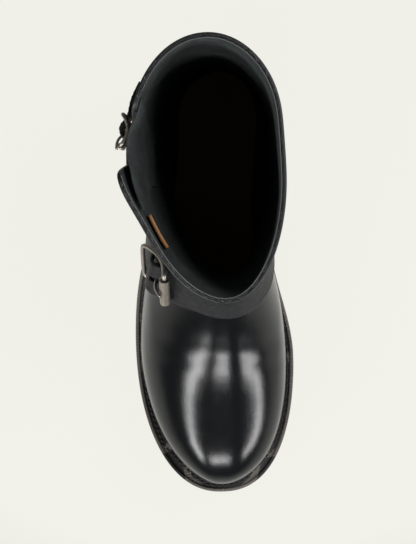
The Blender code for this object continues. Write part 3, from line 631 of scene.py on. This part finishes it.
def smooth_islands(maker):
    """Lists of faces that meet without a sharp edge, the largest first."""
    seen = set()
    islands = []
    for seed in maker.faces:
        if seed in seen:
            continue
        seen.add(seed)
        island = [seed]
        for face in island:
            for edge in face.edges:
                if edge.calc_face_angle(0) > SHARP_EDGE:
                    continue
                for near in edge.link_faces:
                    if near not in seen:
                        seen.add(near)
                        island.append(near)
        islands.append(island)
    return sorted(islands, key=lambda island: -sum(face.calc_area() for face in island))


def border_runs(island):
    """Closed runs of steps along an island's border, as first point, second point and face."""
    members = set(island)
    after = {}
    for face in island:
        for loop in face.loops:
            if not any(other in members for other in loop.edge.link_faces if other is not face):
                after[loop.vert] = (loop.link_loop_next.vert, face)
    runs = []
    while after:
        vert = next(iter(after))
        run = []
        while vert in after:
            following, face = after.pop(vert)
            run.append((vert.co.copy(), following.co.copy(), face))
            vert = following
        runs.append(run)
    return runs


def from_corner(run):
    """The same run, begun at its sharpest corner."""
    ways = [(second - first).normalized() for first, second, _ in run]
    corner = min(range(len(run)), key=lambda number: ways[number].dot(ways[number - 1]))
    return run[corner:] + run[:corner]


def border_chains(island):
    """The border cut at its corners: points, each with its normal, the way into the island and along."""
    chains = []
    for run in map(from_corner, border_runs(island)):
        chain = []
        for first, second, face in run:
            way = (second - first).normalized()
            if chain and way.dot(chain[-1][3]) < math.cos(CORNER):
                chains.append(chain)
                chain = []
            inward = face.normal.cross(way).normalized()
            chain.append((first, face.normal.copy(), inward, way))
        chain.append((second, face.normal.copy(), inward, way))
        chains.append(chain)
    return chains


def run_length(points):
    return sum((second - first).length for first, second in zip(points, points[1:]))


def lengths_along(points):
    """How far along the run each of its points lies."""
    return np.array([0.0] + [(second - first).length for first, second in zip(points, points[1:])]).cumsum()


def spaced(points, pitch):
    """Places and ways at even steps along a run of points."""
    lengths = lengths_along(points)
    count = max(1, int(lengths[-1] / pitch))
    rows = np.array([tuple(point) for point in points])
    at = (np.arange(count) + 0.5) * lengths[-1] / count
    reach = pitch * 0.3
    spots, ahead, behind = (
        np.column_stack([np.interp(at + shift, lengths, rows[:, axis]) for axis in range(3)])
        for shift in (0, reach, -reach)
    )
    return [(Vector(spot), (Vector(a) - Vector(b)).normalized()) for spot, a, b in zip(spots, ahead, behind)]


def stitch_mesh(rows, pitch, radius, sunk):
    """Short rounded stitches along rows of points, each laid on its row's surface."""
    maker = bmesh.new()
    for points, surface in rows:
        for spot, way in spaced(points, pitch):
            place, normal = surface.find_nearest(spot)[:2]
            side = normal.cross(way).normalized()
            way = side.cross(normal).normalized()
            turn = turn_to(way * pitch * 0.40, side * radius, normal * radius)
            turn.translation = place + normal * radius * (0.5 - sunk)
            bmesh.ops.create_uvsphere(maker, u_segments=6, v_segments=4, radius=1, matrix=turn)
    bmesh.ops.recalc_face_normals(maker, faces=maker.faces)
    return maker


def surface_of(piece):
    """A tree of the finished piece to lay stitches on."""
    graph = bpy.context.evaluated_depsgraph_get()
    return BVHTree.FromObject(piece, graph)


def facing_out(islands):
    """The large island that faces away from the inside of the boot."""
    middle = Vector((0.0, -0.06, 0.11))

    def outward(island):
        return sum(
            face.normal.dot((face.calc_center_median() - middle).normalized()) * face.calc_area()
            for face in island
        )

    return max(islands[:2], key=outward)


def inset_rows(island, inset, shortest):
    """Runs of points a little inside an island's border."""
    rows = []
    for piece in border_chains(island):
        points = [point + inward * inset for point, _, inward, _ in piece]
        if len(points) > 2:
            points[0] = points[0] + piece[0][3] * inset
            points[-1] = points[-1] - piece[-1][3] * inset
        if run_length(points) > shortest:
            rows.append(points)
    return rows


def polyline_distance(points, line):
    """Distance of each point to a line of places, and how far along it, from 0 to 1."""
    best = np.full(len(points), 1e9)
    share = np.zeros(len(points))
    count = len(line) - 1
    for number, (start, end) in enumerate(zip(line, line[1:])):
        run = end - start
        at = np.clip(((points - start) @ run) / (run @ run), 0, 1)
        distance = np.linalg.norm(points - (start + at[:, None] * run), axis=1)
        near = distance < best
        best = np.where(near, distance, best)
        share = np.where(near, (number + at) / count, share)
    return best, share


def press_creases(mesh, depth):
    """Push the leather in along each listed crease and out beside it; keep where, for the colour."""
    count = len(mesh.vertices)
    places = np.empty(count * 3)
    normals = np.empty(count * 3)
    mesh.vertices.foreach_get("co", places)
    mesh.vertex_normals.foreach_get("vector", normals)
    places = places.reshape(-1, 3)
    normals = normals.reshape(-1, 3)
    tree = BVHTree.FromPolygons([Vector(p) for p in places], [tuple(f.vertices) for f in mesh.polygons])
    outward = np.ones(count)
    for polygon in mesh.polygons:
        if polygon.material_index == INNER:
            for index in polygon.vertices:
                outward[index] = -1.0
    shift = np.zeros(count)
    for line, share, width in CREASES.values():
        dense = []
        for start, end in zip(line, line[1:]):
            for step in np.linspace(0, 1, 5, endpoint=False):
                dense.append(Vector(start).lerp(Vector(end), step))
        dense.append(Vector(line[-1]))
        snapped = np.array([tuple(tree.find_nearest(point)[0]) for point in dense])
        distance, along = polyline_distance(places, snapped)
        fade = np.sin(np.clip(along, 0, 1) * math.pi) ** 0.7
        trough = np.exp(-((distance / width) ** 2))
        ridge = np.exp(-((distance / width - RIDGE_PLACE) ** 2))
        shift -= depth * share * fade * (trough - RIDGE_SHARE * ridge)
    moved = places + normals * (shift * outward)[:, None]
    mesh.vertices.foreach_set("co", moved.ravel())
    keep_on_points(mesh, "crease", shift / depth)
    mesh.update()


def keep_on_points(mesh, name, values):
    """Store one number a point, for the finish to read."""
    mesh.attributes.new(name, "FLOAT", "POINT").data.foreach_set("value", values.astype(np.float32))


def mark_wall(mesh, outside, inside):
    """Where a cut edge's points lie across the wall: 0 at the outer face, 1 at the inner face."""
    trees = []
    for points in (outside, inside):
        tree = KDTree(len(points))
        for number, point in enumerate(points):
            tree.insert(point, number)
        tree.balance()
        trees.append(tree)
    values = np.zeros(len(mesh.vertices))
    for polygon in mesh.polygons:
        if polygon.material_index == EDGE:
            for index in polygon.vertices:
                near, far = (tree.find(mesh.vertices[index].co)[2] for tree in trees)
                values[index] = near / max(near + far, 1e-6)
    keep_on_points(mesh, "wall", values)


class BOOT_OT_upper(bpy.types.Operator):
    """Build the upper: leather outside, napped lining inside, cut edges between"""

    bl_idname = "boot.upper"
    bl_label = "Upper"

    def execute(self, context):
        sizes = context.scene.boot_sizes
        maker = cad_copy("upper")
        islands = smooth_islands(maker)
        outer = facing_out(islands)
        inner = islands[1] if outer is islands[0] else islands[0]
        for face in maker.faces:
            face.material_index = EDGE
        for finish, island in ((OUTER, outer), (INNER, inner)):
            for face in island:
                face.material_index = finish
        outer_border, inner_border = (
            [[point for point, *_ in chain] for chain in border_chains(island)] for island in (outer, inner)
        )
        slit_rows = [
            row
            for row in inset_rows(outer, COLLAR_STITCH_INSET, 0.04)
            if min(point.z for point in row) > COLLAR_HEIGHT * 0.6
        ]
        # the lining's folded edge at the collar, drawn as a pale line for a painted highlight
        rim_line = [
            row for row in inner_border if row[0].z > COLLAR_HEIGHT - 0.003 and run_length(row) > 0.05
        ]
        crease_borders(maker, 0.8)
        finishes = [leather_finish(), lining_finish("lining_leather"), edge_finish()]
        piece = add_piece("upper_leather", maker, finishes, "leather", "upper")
        subdivide(piece, sizes.smoothing)
        mesh = applied(piece)
        mark_wall(mesh, sum(outer_border, []), sum(inner_border, []))
        press_creases(mesh, sizes.crease_depth)
        surface = surface_of(piece)
        rows = [(row, surface) for row in slit_rows]
        maker = stitch_mesh(rows, sizes.stitch_pitch, sizes.thread * 0.8, 0.75)
        add_piece("collar_stitches", maker, [thread_finish()], "leather")
        add_tube("rim_line", rim_line, RIM_HIGHLIGHT_RADIUS, rim_highlight_finish(), "leather")
        self.add_inner_strap_end(surface)
        return {"FINISHED"}

    def add_inner_strap_end(self, surface):
        """The raw end of the top strap's backing, sewn inside the front panel."""
        middle = Vector((0.0, -0.05, 0.27))
        maker = bmesh.new()
        tops = []
        for share in np.linspace(0, 1, 9):
            point = STRAP_END_FIRST.lerp(STRAP_END_LAST, share)
            outward = (point - middle) * Vector((1, 1, 0))
            wall = surface.ray_cast(middle, outward.normalized())[0] or point
            tops.append(maker.verts.new(wall.lerp(middle, 0.045) + Vector((0, 0, point.z - wall.z))))
        edges = [maker.edges.new(pair) for pair in zip(tops, tops[1:])]
        for _ in range(3):
            made = bmesh.ops.extrude_edge_only(maker, edges=edges)["geom"]
            lower = [item for item in made if isinstance(item, bmesh.types.BMVert)]
            edges = [item for item in made if isinstance(item, bmesh.types.BMEdge)]
            edges = [edge for edge in edges if all(vert in lower for vert in edge.verts)]
            bmesh.ops.translate(maker, verts=lower, vec=(0, 0, -STRAP_END_STEP))
        bmesh.ops.recalc_face_normals(maker, faces=maker.faces)
        finish = inner_end_finish(STRAP_END_FIRST.z)
        piece = add_piece("inner_strap_end", maker, [finish], "strap_leather")
        sheet = piece.modifiers.new("thickness", "SOLIDIFY")
        sheet.thickness = STRAP_END_THICKNESS
        sheet.offset = 0


class BOOT_OT_straps(bpy.types.Operator):
    """Build the straps, the short straps of the buckles and the gusset"""

    bl_idname = "boot.straps"
    bl_label = "Straps"

    def execute(self, context):
        sizes = context.scene.boot_sizes
        finish = strap_finish()
        raw = raw_edge_finish()
        dyed = dyed_edge_finish()
        rows = []
        for node in ("instep_strap", "instep_chape", "top_strap", "top_chape"):
            maker = cad_copy(node)
            islands = smooth_islands(maker)
            for island in islands[2:]:
                for face in island:
                    face.material_index = 1
            edge_rows = []
            if node in STRAP_STITCH_INSETS:
                edge_rows = inset_rows(facing_out(islands), STRAP_STITCH_INSETS[node], 0.03)
            crease_sharp(maker, 0.7)
            finishes = [finish, raw if node == "top_chape" else dyed]
            piece = add_piece(f"{node}_leather", maker, finishes, "strap_leather", node)
            subdivide(piece, 2)
            surface = surface_of(piece)
            rows += [(row, surface) for row in edge_rows]
        maker = stitch_mesh(rows, sizes.stitch_pitch, sizes.thread * 0.65, 0.6)
        add_piece("strap_stitches", maker, [thread_finish()], "strap_leather")
        maker = cad_copy("gusset")
        crease_sharp(maker, 0.9)
        piece = add_piece("gusset_fold", maker, [lining_finish("gusset_leather")], "gusset_leather", "gusset")
        subdivide(piece, 2)
        return {"FINISHED"}


class BOOT_OT_metal(bpy.types.Operator):
    """Build the buckles' wires, rollers and prongs"""

    bl_idname = "boot.metal"
    bl_label = "Buckles"

    def execute(self, context):
        finish = metal_finish()
        for strap in ("instep", "top"):
            for part in ("buckle", "bar", "roller", "prong"):
                maker = cad_copy(f"{strap}_{part}")
                crease_sharp(maker, 1.0 if part == "roller" else 0.6, math.radians(40))
                piece = add_piece(f"{strap}_{part}_metal", maker, [finish], "nickel", f"{strap}_{part}")
                subdivide(piece, 2 if part == "roller" else 1)
        return {"FINISHED"}


class BOOT_OT_sole(bpy.types.Operator):
    """Build the welt, the sole layers, the heel and the insole"""

    bl_idname = "boot.sole"
    bl_label = "Sole"

    def execute(self, context):
        finishes = {"welt": (welt_finish(), "welt_leather")}
        for node, slot, share, rough in SOLE_LAYERS:
            finishes[node] = (sole_finish(slot, share, rough), slot)
        finishes["insole"] = (insole_finish(), "insole_leather")
        stack = sole_finish("heel_leather", LIFT_SHARE, LIFT_ROUGHNESS)
        for number in (1, 2, 3):
            finishes[f"heel_lift_{number}"] = (stack, "heel_leather")
        for node, (finish, slot) in finishes.items():
            maker = cad_copy(node)
            crease_sharp(maker, 0.97 if node == "welt" else 1.0, math.radians(30))
            piece = add_piece(f"{node}_edge", maker, [finish], slot, node)
            subdivide(piece, 2)
            if node == "welt":
                self.sew(context, piece)
        return {"FINISHED"}

    def sew(self, context, welt):
        """Mark the run of the welt's wheeled notches and lay its stitches in the channel."""
        lip = lip_points()
        surface = surface_of(welt)
        mesh = applied(welt)
        places = np.array([tuple(vert.co) for vert in mesh.vertices])
        line = np.array([tuple(point) for point in lip])
        level = (1, 1, 0)
        distance, share = polyline_distance(places * level, line * level)
        run = np.interp(share * (len(line) - 1), np.arange(len(line)), lengths_along(lip))
        keep_on_points(mesh, "run", run)
        keep_on_points(mesh, "in_from_lip", distance)
        middle = Vector((0.0, -0.12, 0.0))
        hits = []
        for before, point, after in zip(lip, lip[1:], lip[2:]):
            way = (after - before).normalized()
            inward = Vector((way.y, -way.x, 0)).normalized()
            if inward.dot(middle - point) < 0:
                inward = -inward
            above = point + inward * WELT_CHANNEL + Vector((0, 0, 0.004))
            place, normal = surface.ray_cast(above, Vector((0, 0, -1)))[:2]
            if place is not None and normal.z > 0.5:
                hits.append(place)
        maker = stitch_mesh([(hits, surface)], context.scene.boot_sizes.welt_pitch, WELT_THREAD, 0.1)
        add_piece("welt_stitches", maker, [welt_thread_finish()], "welt_leather")


def lip_points():
    """The welt's raised outer lip, from the arch's outer side round the toe to its inner side."""
    maker = cad_copy("welt")
    spots = [vert.co.copy() for vert in maker.verts]
    maker.free()
    middle = Vector((0.0, -0.11, 0.0))
    farthest = {}
    for spot in spots:
        near = [other.z for other in spots if abs(other.y - spot.y) < 0.004 and other.x * spot.x >= 0]
        if spot.z <= max(near) - 0.0009:
            continue
        turn = math.atan2(spot.x - middle.x, middle.y - spot.y)
        key = round(turn / math.radians(2.2))
        reach = (spot.xy - middle.xy).length
        if key not in farthest or reach > farthest[key][0]:
            farthest[key] = (reach, spot)
    return [farthest[key][1] for key in sorted(farthest)]


class BOOT_OT_stage(bpy.types.Operator):
    """Set the floor, the studio light and the camera"""

    bl_idname = "boot.stage"
    bl_label = "Stage"

    def execute(self, context):
        stage = context.scene.boot_stage
        self.add_floor(context, tuple(stage.floor))
        for softbox in SOFTBOXES:
            self.add_softbox(context, stage.brightness, *softbox)
        world = bpy.data.worlds.new("studio")
        world.use_nodes = True
        sky = world.node_tree.nodes["Background"].inputs
        sky["Color"].default_value = (1, 1, 0.985, 1)
        sky["Strength"].default_value = WORLD_LIGHT * stage.brightness
        context.scene.world = world
        context.scene.view_settings.view_transform = "Standard"
        self.add_camera(context, stage)
        return {"FINISHED"}

    def add_floor(self, context, pale):
        """A pale glowing floor, evenly bright round the boot, whose glow fades a little away from it as a
        painted pool of light.
        """
        maker = bmesh.new()
        bmesh.ops.create_grid(maker, x_segments=1, y_segments=1, size=FLOOR_SIZE)
        mesh = bpy.data.meshes.new("floor")
        maker.to_mesh(mesh)
        maker.free()
        finish = Finish("floor")
        settings = {"operation": "LENGTH"}
        reach = finish.node("ShaderNodeVectorMath", settings, {"Vector": finish.place}, "Value")
        # painted light: beyond LIT_RADIUS the floor's glow dims, a painted falloff of light round the boot
        far = ((reach - LIT_RADIUS) * 2.2).at_least(0.0).at_most(1.0)
        finish.set(
            base_color=scaled(pale, 0.03),
            roughness=0.95,
            specular_ior_level=0.0,
            emission_color=finish.mix(far, pale, scaled(pale, 0.36)),
            emission_strength=0.985,
        )
        mesh.materials.append(finish.material)
        floor = bpy.data.objects.new("floor", mesh)
        context.scene.collection.objects.link(floor)

    def add_softbox(self, context, brightness, name, first, last, height, power):
        """A long soft light between two places, turned to the boot."""
        first = Vector(first)
        last = Vector(last)
        data = bpy.data.lights.new(name, "AREA")
        data.shape = "RECTANGLE"
        data.size = (last - first).length
        data.size_y = height
        data.energy = power * brightness
        place = (first + last) / 2
        long_side = (last - first).normalized()
        short_side = (place - LIGHTS_AIM).normalized().cross(long_side).normalized()
        light = bpy.data.objects.new(name, data)
        turn = turn_to(long_side, short_side, long_side.cross(short_side))
        light.matrix_world = Matrix.Translation(place) @ turn
        context.scene.collection.objects.link(light)

    def add_camera(self, context, stage):
        """The camera of the picture: high above the boot, almost straight down."""
        data = bpy.data.cameras.new("camera")
        data.lens = stage.focal / IMAGE_LONG_SIDE * data.sensor_width
        data.clip_end = 20
        camera = bpy.data.objects.new("camera", data)
        camera.location = stage.camera
        aim = Vector(stage.aim).normalized()
        right = aim.cross(Vector((0, 1, 0))).normalized()
        camera.rotation_mode = "QUATERNION"
        camera.rotation_quaternion = turn_to(right, right.cross(aim), -aim).to_quaternion()
        context.scene.collection.objects.link(camera)
        context.scene.camera = camera


class BOOT_PT_panel(bpy.types.Panel):
    """Shows a button for each operator that builds the boot's pieces"""

    bl_idname = "BOOT_PT_panel"
    bl_label = "Engineer Boot"
    bl_space_type = "VIEW_3D"
    bl_region_type = "UI"
    bl_category = "Boot"

    def draw(self, context):
        for operator in OPERATORS:
            self.layout.operator(operator.bl_idname)


OPERATORS = (BOOT_OT_upper, BOOT_OT_straps, BOOT_OT_metal, BOOT_OT_sole, BOOT_OT_stage)
CLASSES = (BootSizes, BootColours, StageSettings, *OPERATORS, BOOT_PT_panel)


def register():
    for cls in CLASSES:
        bpy.utils.register_class(cls)
    bpy.types.Scene.boot_sizes = PointerProperty(type=BootSizes)
    bpy.types.Scene.boot_colours = PointerProperty(type=BootColours)
    bpy.types.Scene.boot_stage = PointerProperty(type=StageSettings)


def unregister():
    del bpy.types.Scene.boot_stage
    del bpy.types.Scene.boot_colours
    del bpy.types.Scene.boot_sizes
    for cls in reversed(CLASSES):
        bpy.utils.unregister_class(cls)


def main():
    register()
    for operator in OPERATORS:
        name = operator.bl_idname.split(".")[1]
        getattr(bpy.ops.boot, name)()


if __name__ == "__main__":
    main()
